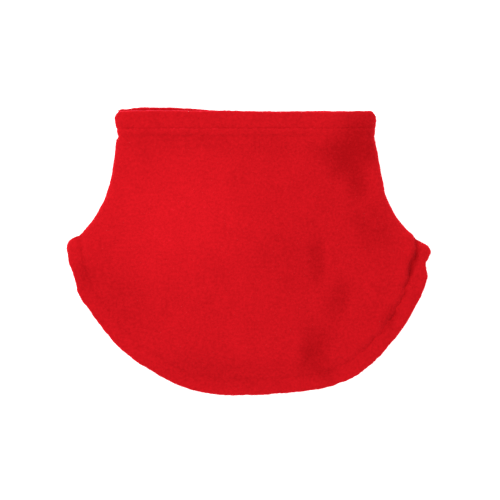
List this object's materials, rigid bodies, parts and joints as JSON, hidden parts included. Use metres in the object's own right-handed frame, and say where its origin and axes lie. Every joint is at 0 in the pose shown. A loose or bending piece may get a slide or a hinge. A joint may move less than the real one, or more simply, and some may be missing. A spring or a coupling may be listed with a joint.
{
  "type": "neck gaiter",
  "caption": "Fleece neck gaiter lying flat: a neck tube with a folded band that flares into a rounded, hemmed bib.",
  "frame": {"origin": "middle of the bounding box at its underside, where the back of the gaiter rests", "axes": "+X across the wearer, +Y towards the neck opening, +Z out of the cloth from the back to the front"},
  "size_m": [0.3636, 0.288, 0.0172],
  "materials": {
    "fleece": "brushed, matt",
    "thread": "spun polyester, matt"
  },
  "bodies": {
    "root": {"front_panel": "fleece", "back_panel": "fleece", "front_neck_band": "fleece", "back_neck_band": "fleece", "front_hem_band": "fleece", "back_hem_band": "fleece", "front_neck_seam_thread": "thread", "back_neck_seam_thread": "thread", "front_neck_topstitch_thread": "thread", "back_neck_topstitch_thread": "thread", "front_hem_seam_thread": "thread", "back_hem_seam_thread": "thread", "left_side_seam_thread": "thread", "right_side_seam_thread": "thread"}
  },
  "joints": []
}
